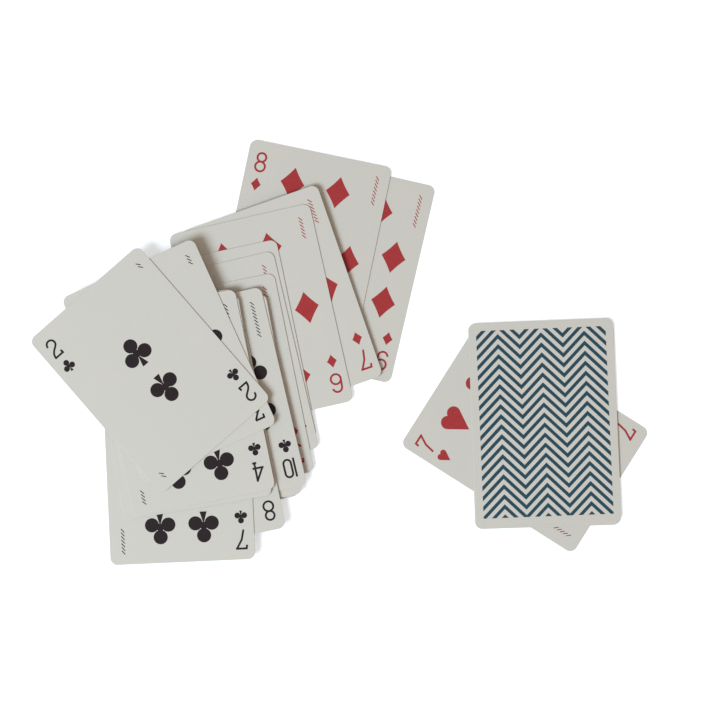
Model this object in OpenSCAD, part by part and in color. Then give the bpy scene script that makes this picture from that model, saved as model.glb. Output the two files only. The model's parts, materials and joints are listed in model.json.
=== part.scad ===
// A deck of playing cards, laid out: twenty-one cards face up in a loose spread that leans down
// off its two lowest cards, and two cards face down across a third. Every card is a loose piece.
// Millimetres, +Z up, the table at z = 0, the origin under the middle of the layout.

/* [Card] */
// Width of a card
card_w = 63.5; // [57:0.5:75]
// Height of a card
card_h = 88.9; // [84:0.1:110]
// Thickness of the card stock
card_t = 0.3; // [0.2:0.01:0.5]
// Radius of the die-cut corners
corner_r = 3.2; // [1.5:0.1:6]

/* [Stack] */
// Air left between a print and the card that lies on it
air_gap = 0.05; // [0.05:0.01:0.2]
// Compass heading in which the spread leans down, counted from +X towards +Y
lean_heading = 238; // [225:1:245]

/* [Face print] */
// Thickness of the ink film
ink_t = 0.02; // [0.02:0.01:0.04]
// Height of a club, on which the sizes of the other pips depend
pip_h = 13.5; // [10:0.1:15]
// From the long edge to the outer pips
pip_side_margin = 6; // [4:0.1:8]
// From the short edge to the middle of the end pips
pip_end_margin = 15.5; // [13:0.1:19]
// Height of the single large pip on a jack, queen or king
court_pip_h = 30; // [20:0.5:36]
// Height of the small pip in a corner, under the numeral
index_pip_h = 5.6; // [3:0.1:7]
// From the long edge to the middle of that pip
index_side_margin = 5.8; // [5:0.1:7]
// From the short edge to the middle of that pip
index_end_margin = 19.1; // [17:0.1:21]
// How far to the right of the card's middle the printed face was cut
print_shift_x = 0.3; // [-1:0.05:1]
// How far above the card's middle the faces of the clubs were cut
club_shift_y = -0.55; // [-1:0.05:1]
// How far above the card's middle the faces of the diamonds and hearts were cut
red_shift_y = -0.15; // [-1:0.05:1]

/* [Back print] */
// Plain border round the striped panel of the back
back_border = 3.4; // [2:0.1:8]
// Width of a stripe, across it
stripe_w = 1.45; // [0.8:0.05:2]
// From one stripe to the next, across them
stripe_pitch = 3.1; // [2.5:0.05:5]
// Legs of the zigzag from one side of the panel to the other
zigzag_legs = 6; // [2:2:12]

/* [Colour] */
// Face and edge of the card stock
stock_colour = "#cbcbc5"; // color
// Ink of the clubs
black_ink = "#2e2629"; // color
// Ink of the diamonds and hearts
red_ink = "#a63a3c"; // color
// Ink of the backs
teal_ink = "#2b4a58"; // color

/* [Hidden] */
$fn = 64;

// The spread from the table up: name, suit, rank, where the middle lies and how far it is turned.
// Ranks 11, 12 and 13 are the jack, queen and king.
SPREAD = [
    ["nine_of_diamonds", "diamond", 9, [-7.8, 40.4], -13.1],
    ["eight_of_diamonds", "diamond", 8, [-26.1, 47.9], -11.8],
    ["seven_of_diamonds", "diamond", 7, [-34.5, 25.1], 19.2],
    ["six_of_diamonds", "diamond", 6, [-43.6, 18.8], 12.7],
    ["five_of_diamonds", "diamond", 5, [-58.9, 3.3], 11.8],
    ["four_of_diamonds", "diamond", 4, [-59, -2.3], 13.3],
    ["three_of_diamonds", "diamond", 3, [-60, -11.4], 11.6],
    ["two_of_diamonds", "diamond", 2, [-66, -21.5], 11],
    ["ace_of_clubs", "club", 1, [-65.5, -21], 11.5],
    ["king_of_clubs", "club", 13, [-66, -21], 11],
    ["queen_of_clubs", "club", 12, [-65.5, -20.5], 11.5],
    ["jack_of_clubs", "club", 11, [-64.4, -20.3], 10.6],
    ["ten_of_clubs", "club", 10, [-64.2, -18.3], 13.3],
    ["nine_of_clubs", "club", 9, [-77, -27], 11.5],
    ["eight_of_clubs", "club", 8, [-72.3, -35.8], 11.6],
    ["seven_of_clubs", "club", 7, [-79.4, -43.8], 2.7],
    ["six_of_clubs", "club", 6, [-79.7, -17.8], 9.6],
    ["five_of_clubs", "club", 5, [-77, -20.4], 9.9],
    ["four_of_clubs", "club", 4, [-76.8, -18.8], 11.7],
    ["three_of_clubs", "club", 3, [-83.5, -0.3], 24.5],
    ["two_of_clubs", "club", 2, [-91.8, -4.2], 41.1],
];
// The pair beside it, from the table up, on a face-up card.
PAIR = [
    ["seven_of_hearts", "heart", 7, [72.1, -33.9], 57.7],
    ["lower_face_down_card", "back", 0, [80.6, -28.3], 1.9],
    ["upper_face_down_card", "back", 0, [80.7, -27], 2.3],
];
CARDS = concat(SPREAD, PAIR);

// Each card lies one pitch above the one under it: its own stock, the ink on it and the air above.
pitch = card_t + ink_t + air_gap;

// The two lowest cards lie flat. The rest of the spread leans as one over their furthest point,
// as steeply as it can before the first corner reaches the table.
flat_cards = 2;
fulcrum = max([for (i = [0 : flat_cards - 1]) downhill_end(i)]);
lean_slope =
    min([for (i = [flat_cards : len(SPREAD) - 1]) i * pitch / max(downhill_end(i) - fulcrum, pitch)]);
lean = atan(lean_slope);
lean_axis = [-sin(lean_heading), cos(lean_heading), 0];

// The middle of the whole layout, which goes over the origin.
middle = [
    (max([for (card = CARDS) card[3].x + reach(card[4], 0)])
        + min([for (card = CARDS) card[3].x - reach(card[4], 0)])) / 2,
    (max([for (card = CARDS) card[3].y + reach(card[4], 90)])
        + min([for (card = CARDS) card[3].y - reach(card[4], 90)])) / 2,
];

// The pips stand on a lattice whose inner columns are halfway out and whose inner rows are about a
// third of the way up. The suits differ a little in size, so half a pip's width and its whole height
// are given as shares of a club's height.
club_half_w = 0.496;
diamond_half_w = 0.397;
diamond_tall = 1.045;
heart_half_w = 0.4;
heart_tall = 0.93;
index_heart_share = 1.09;
end_v = card_h / 2 - pip_end_margin;
third_v = 0.35 * end_v;

function print_name(card) = str(card[0], "_print");

function ink_colour(suit) = suit == "back" ? teal_ink : suit == "club" ? black_ink : red_ink;

// How far a card turned by turn reaches from its middle along a heading.
function reach(turn, heading) =
    abs(cos(heading - turn)) * (card_w / 2 - corner_r)
    + abs(sin(heading - turn)) * (card_h / 2 - corner_r) + corner_r;

// How far down the lean the middle of card i lies, and its furthest point.
function downhill(i) = CARDS[i][3].x * cos(lean_heading) + CARDS[i][3].y * sin(lean_heading);
function downhill_end(i) = downhill(i) + reach(CARDS[i][4], lean_heading);

function leans(i) = i >= flat_cards && i < len(SPREAD);
function level(i) = i < len(SPREAD) ? i : i - len(SPREAD);

// Height of the underside of card i at its middle.
function seat_z(i) =
    leans(i)
        ? level(i) * pitch / cos(lean) - lean_slope * (downhill(i) - fulcrum)
        : level(i) * pitch;

// Four corners, or two ends, of a lattice rectangle or line.
function ends_u(u) = [[-u, 0], [u, 0]];
function ends_v(v) = [[0, -v], [0, v]];
function corners(u, v) = [[-u, -v], [u, -v], [-u, v], [u, v]];

function half_w(suit) =
    suit == "club" ? club_half_w : suit == "diamond" ? diamond_half_w : heart_half_w;
function outer_u(suit) = card_w / 2 - pip_side_margin - half_w(suit) * pip_h;

// Where the pips of each number card stand, with its outer columns at u.
function pip_places(rank, u) =
    rank == 2 ? ends_v(third_v)
    : rank == 3 ? concat(ends_u(u), [[0, 0]])
    : rank == 4 ? corners(u / 2, end_v)
    : rank == 5 ? concat(corners(u / 2, end_v), [[0, 0]])
    : rank == 6 ? concat(corners(u / 2, end_v), ends_u(u))
    : rank == 7 ? concat(corners(u / 2, end_v), ends_u(u), [[0, 0]])
    : rank == 8 ? concat(corners(u / 2, end_v), ends_u(u), ends_v(third_v))
    : rank == 9 ? concat(corners(u / 2, end_v), corners(u, third_v), [[0, 0]])
    : rank == 10 ? concat(corners(u / 2, end_v), corners(u, third_v), ends_v(third_v))
    : [[0, 0]];

// Puts its children where card i lies, with the underside of the card at z = 0.
module seated(i) {
    translate([CARDS[i][3].x - middle.x, CARDS[i][3].y - middle.y, seat_z(i)])
        rotate(a = leans(i) ? lean : 0, v = lean_axis)
            rotate(CARDS[i][4])
                children();
}

module card_outline() {
    square([card_w, card_h - 2 * corner_r], center = true);
    square([card_w - 2 * corner_r, card_h], center = true);
    for (at = corners(card_w / 2 - corner_r, card_h / 2 - corner_r))
        translate(at)
            circle(r = corner_r);
}

// Three round leaves joined at the middle, on a stem that flares to its foot.
module club(h) {
    leaf_r = 0.23 * h;
    top = [0, h / 2 - leaf_r];
    left = [(0.23 - club_half_w) * h, -0.126 * h];
    right = [-left.x, left.y];
    for (at = [top, left, right])
        translate(at)
            circle(r = leaf_r);
    neck = [0.022 * h, -0.17 * h];
    foot = [0.115 * h, -h / 2];
    polygon([0.65 * top, 0.65 * left, [-neck.x, neck.y], [-foot.x, foot.y], foot, neck, 0.65 * right]);
}

// A lozenge whose four sides are drawn in along arcs.
module diamond(h) {
    half = [diamond_half_w * h, diamond_tall * h / 2];
    hollow = 0.017 * h;
    side = norm(half);
    arc_r = (side * side / 4 + hollow * hollow) / (2 * hollow);
    out = [half.y, half.x] / side;
    arc_middle = half / 2 + (arc_r - hollow) * out;
    difference() {
        polygon([[half.x, 0], [0, half.y], [-half.x, 0], [0, -half.y]]);
        for (sx = [-1, 1], sy = [-1, 1])
            translate([sx * arc_middle.x, sy * arc_middle.y])
                circle(r = arc_r, $fn = 360);
    }
}

// Two round lobes whose outer sides run straight down to the point.
module heart(h) {
    tall = heart_tall * h;
    lobe_r = 0.218 * h;
    lobe = [heart_half_w * h - lobe_r, tall / 2 - lobe_r];
    tip = [0, -tall / 2];
    drop = lobe - tip;
    tangent = asin(lobe_r / norm(drop)) + atan2(drop.x, drop.y);
    touch = tip + sqrt(drop * drop - lobe_r * lobe_r) * [sin(tangent), cos(tangent)];
    for (s = [-1, 1])
        translate([s * lobe.x, lobe.y])
            circle(r = lobe_r);
    polygon([tip, touch, lobe, [0, lobe.y], [-lobe.x, lobe.y], [-touch.x, touch.y]]);
}

module pip(suit, h) {
    if (suit == "club")
        club(h);
    if (suit == "diamond")
        diamond(h);
    if (suit == "heart")
        heart(h);
}

// The pips of one face and the small ones of two corners. Those of the lower half stand on their heads.
module face_pattern(suit, rank) {
    translate([print_shift_x, suit == "club" ? club_shift_y : red_shift_y]) {
        for (at = pip_places(rank, outer_u(suit)))
            translate(at)
                rotate(at.y < 0 ? 180 : 0)
                    pip(suit, rank > 10 ? court_pip_h : pip_h);
        for (half_turn = [0, 180])
            rotate(half_turn)
                translate([index_side_margin - card_w / 2, card_h / 2 - index_end_margin])
                    pip(suit, index_pip_h * (suit == "heart" ? index_heart_share : 1));
    }
}

// One zigzag stripe across the panel, with its first corner at height v.
module zigzag(v, leg, rise) {
    ridge = [for (k = [0 : zigzag_legs]) [(k - zigzag_legs / 2) * leg, v + (k % 2) * leg]];
    foot = [for (k = [zigzag_legs : -1 : 0]) ridge[k] - [0, rise]];
    polygon(concat(ridge, foot));
}

// Zigzag stripes at 45 degrees that fill a panel with a plain border round it.
module back_pattern() {
    panel = [card_w, card_h] - 2 * [back_border, back_border];
    leg = panel.x / zigzag_legs;
    rise = stripe_w * sqrt(2);
    step = stripe_pitch * sqrt(2);
    rows = ceil((panel.y + leg) / step);
    intersection() {
        square(panel, center = true);
        for (row = [0 : rows])
            zigzag(panel.y / 2 + rise - row * step, leg, rise);
    }
}

// A card: one rounded plate of stock, lying where it belongs in the stack.
module card(i) {
    color(stock_colour)
        seated(i)
            linear_extrude(card_t)
                card_outline();
}

// The ink on the upper side of a card: the pips of its face, or the stripes of its back.
module card_print(i) {
    color(ink_colour(CARDS[i][1]))
        seated(i)
            translate([0, 0, card_t])
                linear_extrude(ink_t)
                    if (CARDS[i][1] == "back")
                        back_pattern();
                    else
                        face_pattern(CARDS[i][1], CARDS[i][2]);
}

for (i = [0 : len(CARDS) - 1]) {
    card(i);
    card_print(i);
}
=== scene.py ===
"""Playing cards laid out on a white table: a leaning face-up spread, and face-down cards on a heart."""

import json
import math

import bmesh
import bpy
from mathutils import Matrix, Vector

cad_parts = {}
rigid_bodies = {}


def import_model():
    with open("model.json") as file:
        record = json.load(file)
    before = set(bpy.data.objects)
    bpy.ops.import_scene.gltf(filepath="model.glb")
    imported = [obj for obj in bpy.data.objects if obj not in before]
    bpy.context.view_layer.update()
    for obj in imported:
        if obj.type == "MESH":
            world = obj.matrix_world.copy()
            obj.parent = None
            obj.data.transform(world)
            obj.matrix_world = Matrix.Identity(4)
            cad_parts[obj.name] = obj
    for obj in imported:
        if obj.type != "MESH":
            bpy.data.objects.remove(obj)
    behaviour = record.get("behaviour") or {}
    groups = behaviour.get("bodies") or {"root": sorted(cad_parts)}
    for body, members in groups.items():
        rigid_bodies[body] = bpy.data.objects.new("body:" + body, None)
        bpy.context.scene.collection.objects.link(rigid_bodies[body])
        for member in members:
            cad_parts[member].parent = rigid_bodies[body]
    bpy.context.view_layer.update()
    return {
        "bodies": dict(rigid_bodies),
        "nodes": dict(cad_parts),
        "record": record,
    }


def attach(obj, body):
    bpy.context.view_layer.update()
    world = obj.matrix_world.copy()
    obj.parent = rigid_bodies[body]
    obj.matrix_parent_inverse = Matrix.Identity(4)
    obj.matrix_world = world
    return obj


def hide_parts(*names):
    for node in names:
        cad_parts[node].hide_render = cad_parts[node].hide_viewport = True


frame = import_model()

# The blanks: two plies of paper glued to 0.3 mm card, printed in sheets, varnished, rolled between
# embossing cylinders that press a linen weave into both sides, and die-cut with rounded corners.
# Nothing joins the cards, so each one lies where its CAD solid lies.
MM = 0.001
CARD_W = 0.0635
CARD_H = 0.0889
CARD_T = 0.0003
CORNER_R = 0.0032
CORNER_STEPS = 12
DIE_ROUND = 0.0001
RIM_STEPS = 2
FLAT_SLOPE = 0.9
WALL_SLOPE = 0.5
WAVE_PERIOD = 2 * math.pi / 20
LINEN_PITCH_MM = 1.1
LINEN_DEPTH = 0.00003
HANDLED_PER_MM = 0.06
FLECKS_PER_MM = 0.8
VARNISH_IOR = 1.5
FIBRES_PER_M = 1400.0
FIBRE_DEPTH = 0.00002
STOCK = "#D0CFC8"
# The next tone is painted shade: a darker card for the hollows of the linen weave.
STOCK_HOLLOW_SHADE = "#CACAC3"
STOCK_AGED = "#CFCCC2"
CUT_EDGE = "#CCC6BB"
CUT_FIBRE = "#BBB4A8"


def linear(hex_colour):
    """An sRGB hex colour as the linear colour that a shader takes."""
    shares = [int(hex_colour[i : i + 2], 16) / 255 for i in (1, 3, 5)]
    return [s / 12.92 if s <= 0.04045 else ((s + 0.055) / 1.055) ** 2.4 for s in shares] + [1.0]


def add(material, kind, inputs, **settings):
    """Adds one shader node with its settings; an input is a value, or the output that feeds it."""
    made = material.node_tree.nodes.new("ShaderNode" + kind)
    for name, value in settings.items():
        setattr(made, name, value)
    for name, value in inputs.items():
        if isinstance(value, bpy.types.NodeSocket):
            material.node_tree.links.new(value, made.inputs[name])
        else:
            made.inputs[name].default_value = value
    return made


def finish_named(name):
    """A new material with an empty node tree."""
    material = bpy.data.materials.new(name)
    material.use_nodes = True
    material.node_tree.nodes.clear()
    return material


def show(material, shader, bump):
    """Puts a shader on the material's surface, dented by a bump."""
    material.node_tree.links.new(bump.outputs["Normal"], shader.inputs["Normal"])
    add(material, "OutputMaterial", {"Surface": shader.outputs[0]})
    return material


def linen_finish():
    """Varnished linen-embossed card: a satin off-white with a faint grid of dimples, with painted shade
    darkening their hollows.
    """
    card = finish_named("linen_embossed_card_stock")
    on_card = add(card, "UVMap", {}, uv_map="card_mm").outputs["UV"]
    # A wave texture of scale 1 repeats every WAVE_PERIOD. The real weave is about 0.65 mm, which is
    # finer than a pixel of the render, so it is drawn coarse enough to show.
    scale = WAVE_PERIOD / LINEN_PITCH_MM
    weave = {"Vector": on_card, "Scale": scale, "Distortion": 1.2, "Detail": 1.0, "Detail Scale": 2.0}
    warp = add(card, "TexWave", weave, bands_direction="X").outputs["Fac"]
    weft = add(card, "TexWave", weave, bands_direction="Y").outputs["Fac"]
    dimples = add(card, "Math", {0: warp, 1: weft}, operation="MULTIPLY").outputs[0]
    # Handling leaves patches about 17 mm across, and the varnish varies in flecks of about 1.3 mm.
    patches = {"Vector": on_card, "Scale": HANDLED_PER_MM, "Detail": 3.0}
    handled = add(card, "TexNoise", patches).outputs["Fac"]
    flecks = {"Vector": on_card, "Scale": FLECKS_PER_MM, "Detail": 2.0}
    fleck = add(card, "TexNoise", flecks).outputs["Fac"]
    # The hollows of the weave get the darker tone: painted shade laid under the real dimples of the
    # bump.
    colours = {6: linear(STOCK_HOLLOW_SHADE), 7: linear(STOCK), 0: dimples}
    weave_shade = add(card, "Mix", colours, data_type="RGBA").outputs[2]
    aged = add(card, "MapRange", {"Value": handled, "From Min": 0.5, "From Max": 0.8, "To Max": 0.6})
    ageing = {0: aged.outputs[0], 6: weave_shade, 7: linear(STOCK_AGED)}
    tone = add(card, "Mix", ageing, data_type="RGBA").outputs[2]
    satin = add(card, "MapRange", {"Value": fleck, "To Min": 0.42, "To Max": 0.58}).outputs[0]
    bump = add(card, "Bump", {"Height": dimples, "Strength": 0.15, "Distance": LINEN_DEPTH})
    surface = {"Base Color": tone, "Roughness": satin, "IOR": VARNISH_IOR, "Specular IOR Level": 0.35}
    return show(card, add(card, "BsdfPrincipled", surface), bump)


def cut_edge():
    """The die-cut edge: bare paper fibre, matt, a little browner than the varnished faces."""
    edge = finish_named("die_cut_paper_edge")
    here = add(edge, "TexCoord", {}).outputs["Object"]
    # Paper fibre is far finer than a pixel; 0.7 mm tufts are the finest that show close up.
    tufts = {"Vector": here, "Scale": FIBRES_PER_M, "Detail": 4.0}
    fibre = add(edge, "TexNoise", tufts).outputs["Fac"]
    tone = add(edge, "Mix", {0: fibre, 6: linear(CUT_EDGE), 7: linear(CUT_FIBRE)}, data_type="RGBA")
    bump = add(edge, "Bump", {"Height": fibre, "Strength": 0.4, "Distance": FIBRE_DEPTH})
    surface = {"Base Color": tone.outputs[2], "Roughness": 0.85, "Specular IOR Level": 0.2}
    return show(edge, add(edge, "BsdfPrincipled", surface), bump)


def place_of(card):
    """Takes a card drawn flat round the origin, underside at z = 0, to where its CAD solid lies."""
    mesh = frame["nodes"][card].data
    up = max(mesh.polygons, key=lambda p: p.area).normal.copy()
    up *= math.copysign(1, up.z)
    sides = [p for p in mesh.polygons if abs(p.normal.dot(up)) < WALL_SLOPE]
    right = max(sides, key=lambda p: p.area).normal.copy()
    right *= math.copysign(1, right.x)
    ahead = up.cross(right)
    place = Matrix((right, ahead, up)).transposed().to_4x4()
    points = [v.co for v in mesh.vertices]
    for axis in (right, ahead):
        along = [axis.dot(p) for p in points]
        place.translation += axis * (min(along) + max(along)) / 2
    place.translation += up * min(up.dot(p) for p in points)
    return place


def add_piece(name, bm, place, card, finishes):
    """Makes a mesh object of bm at its place, riding on its card."""
    bmesh.ops.transform(bm, matrix=place, verts=bm.verts[:])
    bmesh.ops.recalc_face_normals(bm, faces=bm.faces[:])
    mesh = bpy.data.meshes.new(name)
    bm.to_mesh(mesh)
    bm.free()
    for finish in finishes:
        mesh.materials.append(finish)
    piece = bpy.data.objects.new(name, mesh)
    bpy.context.scene.collection.objects.link(piece)
    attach(piece, card)
    return piece


def points_of(geometry):
    """The vertices among what a bmesh operator gives back."""
    return [g for g in geometry if isinstance(g, bmesh.types.BMVert)]


def card_blank():
    """One blank: a rectangle with round corners, pressed to thickness, its rims rolled by the die."""
    bm = bmesh.new()
    oblong = Matrix.Diagonal((CARD_W, CARD_H, 1, 1))
    bmesh.ops.create_grid(bm, x_segments=1, y_segments=1, size=0.5, matrix=oblong)
    bmesh.ops.bevel(
        bm,
        geom=bm.verts[:],
        offset=CORNER_R,
        offset_type="OFFSET",
        affect="VERTICES",
        segments=CORNER_STEPS,
        profile=0.5,
        material=-1,
    )
    pressed = bmesh.ops.extrude_face_region(bm, geom=bm.faces[:])["geom"]
    bmesh.ops.translate(bm, verts=points_of(pressed), vec=(0, 0, CARD_T))
    rims = [e for e in bm.edges if abs(e.verts[0].co.z - e.verts[1].co.z) < CARD_T / 2]
    bmesh.ops.bevel(
        bm,
        geom=rims,
        offset=DIE_ROUND,
        offset_type="OFFSET",
        affect="EDGES",
        segments=RIM_STEPS,
        profile=0.5,
        material=-1,
    )
    bm.normal_update()
    on_card = bm.loops.layers.uv.new("card_mm")
    for face in bm.faces:
        face.material_index = 0 if abs(face.normal.z) > FLAT_SLOPE else 1
        for loop in face.loops:
            loop[on_card].uv = loop.vert.co.xy / MM
    return bm


linen = linen_finish()
paper_edge = cut_edge()
places = {card: place_of(card) for card in frame["bodies"]}
for card, place in places.items():
    blank = add_piece(card + "_blank", card_blank(), place, card, [linen, paper_edge])
    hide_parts(card)

# The pips: ink films offset-printed on the sheets before varnishing, black for the clubs and red for
# the diamonds and hearts, and teal for the backs. Their outlines are the CAD's own solids.
CLUB_BLACK = ("#231B1E", "#2A2225")
PIP_RED = ("#A33638", "#A83D3F")
BACK_TEAL = ("#274755", "#2D4D5B")
MOTTLES_PER_M = 1100.0
MOTTLE_DEPTH = 0.00002


def printing_ink(name, colours):
    """Offset ink under satin varnish: even and dense, a shade lighter where the weave took less."""
    ink = finish_named(name)
    full, thin = colours
    here = add(ink, "TexCoord", {}).outputs["Object"]
    # Print mottle is about 0.1 mm in life; 0.9 mm is the finest that a pixel of the render shows.
    spots = {"Vector": here, "Scale": MOTTLES_PER_M, "Detail": 3.0}
    mottle = add(ink, "TexNoise", spots).outputs["Fac"]
    patch = add(ink, "MapRange", {"Value": mottle, "From Min": 0.35, "From Max": 0.7}).outputs[0]
    tone = add(ink, "Mix", {0: patch, 6: linear(full), 7: linear(thin)}, data_type="RGBA").outputs[2]
    satin = add(ink, "MapRange", {"Value": mottle, "To Min": 0.4, "To Max": 0.55}).outputs[0]
    bump = add(ink, "Bump", {"Height": mottle, "Strength": 0.15, "Distance": MOTTLE_DEPTH})
    surface = {"Base Color": tone, "Roughness": satin, "IOR": VARNISH_IOR, "Specular IOR Level": 0.1}
    return show(ink, add(ink, "BsdfPrincipled", surface), bump)


inks = {
    "black_ink": printing_ink("black_offset_ink", CLUB_BLACK),
    "red_ink": printing_ink("red_offset_ink", PIP_RED),
    "teal_ink": printing_ink("teal_offset_ink", BACK_TEAL),
}
slot_of = {part["node"]: part["material_slot"] for part in frame["record"]["subparts"]}
for card in places:
    pips = frame["nodes"][card + "_print"]
    pips.data.materials.clear()
    pips.data.materials.append(inks[slot_of[card + "_print"]])

# The side pips of the middle row: the right one stands on its head, so that a face reads the same from
# both ends, as the three of clubs shows. The diamonds look the same either way. Each of these prints
# is the CAD's own film with that one pip turned.
SIDE_PIP_CARDS = (
    "three_of_clubs",
    "six_of_clubs",
    "seven_of_clubs",
    "eight_of_clubs",
    "seven_of_hearts",
)
SIDE_PIP_FROM_U_MM = 11
SIDE_PIP_TO_V_MM = 9
SAME_POINT = 1e-7
on_top = Matrix.Translation((0, 0, CARD_T))


def ink_of(card):
    """A copy of a card's CAD print, its triangles merged, at the origin with z = 0 on the stock."""
    bm = bmesh.new()
    bm.from_mesh(frame["nodes"][card + "_print"].data)
    bmesh.ops.remove_doubles(bm, verts=bm.verts[:], dist=SAME_POINT)
    to_origin = on_top.inverted() @ places[card].inverted()
    bmesh.ops.transform(bm, matrix=to_origin, verts=bm.verts[:])
    return bm


def turn_side_pip(film):
    """Gives the right pip of the middle row half a turn about its own middle."""
    outer = [v for v in film.verts if v.co.x > SIDE_PIP_FROM_U_MM * MM]
    pip = [v for v in outer if abs(v.co.y) < SIDE_PIP_TO_V_MM * MM]
    across = [v.co.x for v in pip]
    along = [v.co.y for v in pip]
    middle = ((min(across) + max(across)) / 2, (min(along) + max(along)) / 2, 0)
    bmesh.ops.rotate(film, verts=pip, cent=middle, matrix=Matrix.Rotation(math.pi, 3, "Z"))
    return film


for card in SIDE_PIP_CARDS:
    slot = slot_of[card + "_print"]
    film = turn_side_pip(ink_of(card))
    pips = add_piece(card + "_pips", film, places[card] @ on_top, card, [inks[slot]])
    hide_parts(card + "_print")

# The corner marks: a numeral, or the usual letter of an ace or court card, over the small pip of two
# corners, and in the other two a column of slanting tally strokes, as many as the rank. They are
# printed in the ink of the suit, each stroke a hair thicker than the last so that crossings stay clean.
PEN_MM = 0.88
FILM_MM = 0.02
STROKE_LIFT_MM = 0.0006
ARC_STEP_DEG = 15
SAME_POINT_MM = 0.002
NUMERAL_U_MM = 25.75
NUMERAL_V_MM = 35.25
CLUB_SHIFT_MM = (0.3, -0.55)
RED_SHIFT_MM = (0.3, -0.15)
TALLY_PEN_MM = 0.38
TALLY_LENGTH_MM = 2.2
TALLY_SLANT_DEG = 131
TALLY_PITCH_MM = 1.59
TALLY_U_MM = 26.1
TALLY_V_MM = 38.6
RANKS = {
    "ace": 1,
    "two": 2,
    "three": 3,
    "four": 4,
    "five": 5,
    "six": 6,
    "seven": 7,
    "eight": 8,
    "nine": 9,
    "ten": 10,
    "jack": 11,
    "queen": 12,
    "king": 13,
}
# Each stroke: where the pen starts (mm from the numeral's middle), its heading in degrees, and its
# moves. A move is a length and a turn of 0 for a straight run, or a radius and the turn of an arc.
STROKES = {
    1: [
        [(-2.15, -3.9), 72, [(8.15, 0)]],
        [(2.15, -3.9), 108, [(8.15, 0)]],
        [(-1.35, -1.3), 0, [(2.7, 0)]],
    ],
    2: [
        [(-2.2, -3.87), 90, [(3.7, -55), (2.1, 0), (1.95, 240)]],
        [(-2.64, -3.87), 0, [(4.88, 0)]],
        [(1.8, -3.6), 97, [(1.2, 0)]],
    ],
    3: [
        [(-2.3, 3.85), 0, [(4.5, 0)]],
        [(-1.9, 3.6), 268, [(1.35, 0)]],
        [(2.0, 3.7), 234, [(4.9, 0)]],
        [(-1.03, 0.14), 25, [(2.2, -270)]],
    ],
    4: [
        [(1.45, 4.2), 240, [(6.6, 0)]],
        [(-2.45, -1.6), 0, [(4.95, 0)]],
        [(1.25, 4.2), 270, [(8.2, 0)]],
        [(0.35, -3.9), 0, [(1.85, 0)]],
    ],
    5: [
        [(1.9, 3.85), 180, [(3.5, 0)]],
        [(-1.55, 4.2), 265, [(4.1, 0)]],
        [(-1.85, 0.35), 30, [(2.45, -215), (2.3, -40)]],
    ],
    6: [
        [(1.95, 2.1), 98, [(2.05, 169), (3.7, 0)]],
        [(2.06, -1.81), 90, [(2.2, 360)]],
    ],
    7: [
        [(-2.55, 3.85), 0, [(5.1, 0)]],
        [(-2.2, 3.6), 262, [(1.35, 0)]],
        [(2.0, 3.75), 232, [(14.5, 35)]],
    ],
    8: [
        [(1.93, 2.15), 90, [(1.93, 360)]],
        [(2.15, -1.93), 90, [(2.15, 360)]],
    ],
    9: [
        [(-1.95, -2.1), 278, [(2.05, 169), (3.7, 0)]],
        [(2.34, 1.81), 90, [(2.2, 360)]],
    ],
    10: [
        [(-2.3, -4.25), 90, [(8.5, 0)]],
        [(2.35, -2.2), 90, [(4.4, 0), (1.65, 180), (4.4, 0), (1.65, 180)]],
    ],
    11: [
        [(1.35, 4.25), 270, [(6.0, 0), (1.7, -150)]],
    ],
    12: [
        [(2.2, -1.5), 90, [(3.0, 0), (2.2, 180), (3.0, 0), (2.2, 180)]],
        [(0.5, -2.1), 310, [(2.9, 0)]],
    ],
    13: [
        [(-1.9, -4.25), 90, [(8.5, 0)]],
        [(-1.6, -0.6), 50, [(6.2, 0)]],
        [(-0.4, 0.6), 300, [(5.5, 0)]],
    ],
}


def draw_stroke(bm, start, heading, moves, pen):
    """Sweeps a line of the pen's width along straight runs and arcs."""
    side = Matrix.Rotation(math.radians(heading + 90), 3, "Z") @ Vector((pen / 2, 0, 0))
    at = Vector((*start, 0))
    tip = bm.edges.new((bm.verts.new(at + side), bm.verts.new(at - side)))
    nib = [*tip.verts, tip]
    for size, turn in moves:
        ahead = Vector((math.cos(math.radians(heading)), math.sin(math.radians(heading)), 0))
        if turn:
            left = Vector((-ahead.y, ahead.x, 0)) * math.copysign(size, turn)
            centre = at + left
            steps = max(1, round(abs(turn) / ARC_STEP_DEG))
            swept = bmesh.ops.spin(
                bm, geom=nib, cent=centre, axis=(0, 0, 1), angle=math.radians(turn), steps=steps
            )
            at = centre + Matrix.Rotation(math.radians(turn), 3, "Z") @ -left
        else:
            swept = bmesh.ops.spin(
                bm, geom=nib, cent=at, axis=(0, 0, 1), dvec=ahead * size, angle=0, steps=1
            )
            at = at + ahead * size
        nib = swept["geom_last"]
        heading += turn


def draw_marks(film, strokes, pen):
    """Adds a list of strokes to a film of ink, in millimetres round the origin."""
    for i, (start, heading, moves) in enumerate(strokes):
        stroke = bmesh.new()
        draw_stroke(stroke, start, heading, moves, pen)
        bmesh.ops.remove_doubles(stroke, verts=stroke.verts[:], dist=SAME_POINT_MM)
        inked = bmesh.ops.extrude_face_region(stroke, geom=stroke.faces[:])["geom"]
        thickness = FILM_MM + i * STROKE_LIFT_MM
        bmesh.ops.translate(stroke, verts=points_of(inked), vec=(0, 0, thickness))
        laid = bpy.data.meshes.new("stroke")
        stroke.to_mesh(laid)
        stroke.free()
        film.from_mesh(laid)
        bpy.data.meshes.remove(laid)


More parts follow.
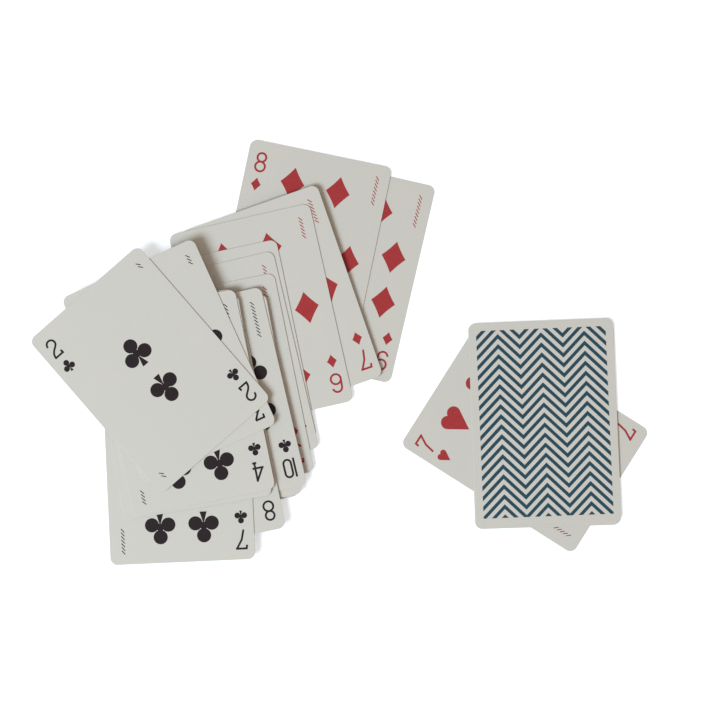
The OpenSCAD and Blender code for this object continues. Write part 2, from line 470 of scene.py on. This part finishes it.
def corner_marks(rank, shift):
    """The numerals and tally strokes of a face, as one film on the top of a card at the origin."""
    film = bmesh.new()
    draw_marks(film, STROKES[rank], PEN_MM)
    bmesh.ops.translate(film, verts=film.verts[:], vec=(-NUMERAL_U_MM, NUMERAL_V_MM, 0))
    slant = math.radians(TALLY_SLANT_DEG)
    foot = Vector((math.cos(slant), math.sin(slant))) * -TALLY_LENGTH_MM / 2
    column = []
    for k in range(rank):
        middle = Vector((TALLY_U_MM, TALLY_V_MM - k * TALLY_PITCH_MM))
        column.append([middle + foot, TALLY_SLANT_DEG, [(TALLY_LENGTH_MM, 0)]])
    draw_marks(film, column, TALLY_PEN_MM)
    twin = bmesh.ops.duplicate(film, geom=film.verts[:] + film.edges[:] + film.faces[:])["geom"]
    bmesh.ops.rotate(film, verts=points_of(twin), matrix=Matrix.Rotation(math.pi, 3, "Z"))
    bmesh.ops.translate(film, verts=film.verts[:], vec=(*shift, 0))
    bmesh.ops.scale(film, verts=film.verts[:], vec=(MM, MM, MM))
    return film


for card, place in places.items():
    if "_of_" not in card:
        continue
    slot = slot_of[card + "_print"]
    shift = CLUB_SHIFT_MM if slot == "black_ink" else RED_SHIFT_MM
    marks = corner_marks(RANKS[card.split("_of_")[0]], shift)
    add_piece(card + "_corner_marks", marks, place @ on_top, card, [inks[slot]])

# The undersides: every card of a deck has the same back, so the face-up cards carry the teal zigzag
# of the upper face-down card underneath, as a film half sunk into the stock. The faces of the two
# face-down cards are guessed as hearts, because the seven of hearts lies under them.
SUNK_MM = 0.01
HEART_REACH_MM = 9
HIDDEN_FACES = {"lower_face_down_card": 5, "upper_face_down_card": 4}
PIP_U_MM = 10.2
PIP_V_MM = 28.95
INDEX_U_MM = 25.95
INDEX_V_MM = 25.35
HEART_MM = 13.5
INDEX_HEART_MM = 6.104
underneath = Matrix.Rotation(math.pi, 4, "Y") @ Matrix.Translation((0, 0, -SUNK_MM * MM))


def hidden_hearts(rank):
    """The pips of a heart card: the middle heart of the seven, copied to the other places."""
    bm = ink_of("seven_of_hearts")
    shift = Vector((*RED_SHIFT_MM, 0)) * MM
    bmesh.ops.translate(bm, verts=bm.verts[:], vec=-shift)
    far = [v for v in bm.verts if v.co.xy.length > HEART_REACH_MM * MM]
    bmesh.ops.delete(bm, geom=far, context="VERTS")
    heart = bm.verts[:] + bm.edges[:] + bm.faces[:]
    spots = [(u * PIP_U_MM, v * PIP_V_MM, v < 0, 1) for u in (-1, 1) for v in (-1, 1)]
    small = INDEX_HEART_MM / HEART_MM
    spots.append((-INDEX_U_MM, INDEX_V_MM, False, small))
    spots.append((INDEX_U_MM, -INDEX_V_MM, True, small))
    for u, v, head_down, share in spots:
        copied = bmesh.ops.duplicate(bm, geom=heart)["geom"]
        turn = Matrix.Rotation(math.pi if head_down else 0, 4, "Z")
        spot = Matrix.Translation((u * MM, v * MM, 0)) @ turn @ Matrix.Diagonal((share, share, 1, 1))
        bmesh.ops.transform(bm, matrix=spot, verts=points_of(copied))
    if rank % 2 == 0:
        bmesh.ops.delete(bm, geom=points_of(heart), context="VERTS")
    bmesh.ops.translate(bm, verts=bm.verts[:], vec=shift)
    return bm


for card, place in places.items():
    if card in HIDDEN_FACES:
        rank = HIDDEN_FACES[card]
        red = [inks["red_ink"]]
        add_piece(card + "_hidden_pips", hidden_hearts(rank), place @ underneath, card, red)
        marks = corner_marks(rank, RED_SHIFT_MM)
        add_piece(card + "_hidden_corner_marks", marks, place @ underneath, card, red)
    else:
        back = ink_of("upper_face_down_card")
        teal = [inks["teal_ink"]]
        add_piece(card + "_back_print", back, place @ underneath, card, teal)

# The table: a plain white sweep, kept white to the eye by a little light of its own, which still takes
# the soft shadows of the cards. What is seen of it is a little blue, which turns the warm fill grey.
FLOOR_Z = -0.00002
FLOOR_HALF = 3.0
FLOOR_TONE = "#F4F4F3"
SEEN_TONE = "#E7EFF6"
GLOW_TONE = "#F3F9FF"
FLOOR_GLOW = 0.47


def sight(material):
    """1 for a ray that shows the background: from the camera, off a glossy face or through glass."""
    path = add(material, "LightPath", {}).outputs
    shiny = {0: path["Is Glossy Ray"], 1: path["Is Transmission Ray"]}
    bent = add(material, "Math", shiny, operation="MAXIMUM").outputs[0]
    return add(material, "Math", {0: path["Is Camera Ray"], 1: bent}, operation="MAXIMUM").outputs[0]


table_white = finish_named("white_studio_sweep")
paper_tone = add(table_white, "BsdfDiffuse", {"Color": linear(FLOOR_TONE)})
seen_tone = add(table_white, "BsdfDiffuse", {"Color": linear(SEEN_TONE)})
glow = add(table_white, "Emission", {"Color": linear(GLOW_TONE), "Strength": FLOOR_GLOW})
lifted = add(table_white, "AddShader", {0: seen_tone.outputs[0], 1: glow.outputs[0]})
seen = {0: sight(table_white), 1: paper_tone.outputs[0], 2: lifted.outputs[0]}
sweep = add(table_white, "MixShader", seen)
add(table_white, "OutputMaterial", {"Surface": sweep.outputs[0]})
floor_mesh = bmesh.new()
bmesh.ops.create_grid(floor_mesh, x_segments=1, y_segments=1, size=FLOOR_HALF)
bmesh.ops.translate(floor_mesh, verts=floor_mesh.verts[:], vec=(0, 0, FLOOR_Z))
floor_data = bpy.data.meshes.new("table")
floor_mesh.to_mesh(floor_data)
floor_mesh.free()
floor_data.materials.append(table_white)
floor = bpy.data.objects.new("table", floor_data)
bpy.context.scene.collection.objects.link(floor)

# The light: a round softbox on the left and towards the player, 45 degrees up and near enough that the
# far cards get a little less of it, and an even, slightly warm fill from all round. Together they
# light a surface to about its own colour.
KEY_WATTS = 65
KEY_DISTANCE = 2.6
KEY_SIZE = 1.3
KEY_TRAVEL = Vector((0.81, 0.59, -1.0)).normalized()
KEY_TONE = "#E2F2FF"
FILL = 0.46
FILL_TONE = "#FFE7D3"
BACKDROP_TONE = "#FFFFFF"
key_light = bpy.data.lights.new("key", "AREA")
key_light.shape = "DISK"
key_light.size = KEY_SIZE
key_light.energy = KEY_WATTS
key_light.color = linear(KEY_TONE)[:3]
key = bpy.data.objects.new("key", key_light)
key.location = -KEY_TRAVEL * KEY_DISTANCE
key.rotation_euler = KEY_TRAVEL.to_track_quat("-Z", "Y").to_euler()
key.visible_camera = False
bpy.context.scene.collection.objects.link(key)
room = bpy.data.worlds.new("studio")
room.use_nodes = True
room.node_tree.nodes.clear()
bpy.context.scene.world = room
fill = add(room, "Background", {"Color": linear(FILL_TONE), "Strength": FILL})
backdrop = add(room, "Background", {"Color": linear(BACKDROP_TONE), "Strength": 1.0})
shown = {0: sight(room), 1: fill.outputs[0], 2: backdrop.outputs[0]}
add(room, "OutputWorld", {"Surface": add(room, "MixShader", shown).outputs[0]})
bpy.context.scene.view_settings.view_transform = "Standard"

# The camera: it looks nearly straight down from 0.9 m, through the long lens that a fit to the edges of
# the cards gave.
CAMERA_DISTANCE = 0.9
LENS_MM = 102.48
SENSOR_MM = 36
PITCH_DEG = 2.05
ROLL_DEG = 1.23
LOOK_AT = Vector((0.009015, -0.003620, 0))
pitch = math.radians(PITCH_DEG)
roll = math.radians(ROLL_DEG)
turned = Matrix.Rotation(pitch, 3, "X") @ Matrix.Rotation(roll, 3, "Y")
lens = bpy.data.cameras.new("camera")
lens.lens = LENS_MM
lens.sensor_width = SENSOR_MM
camera = bpy.data.objects.new("camera", lens)
stand = LOOK_AT + turned @ Vector((0, 0, CAMERA_DISTANCE))
camera.matrix_world = Matrix.Translation(stand) @ turned.to_4x4()
bpy.context.scene.collection.objects.link(camera)
bpy.context.scene.camera = camera
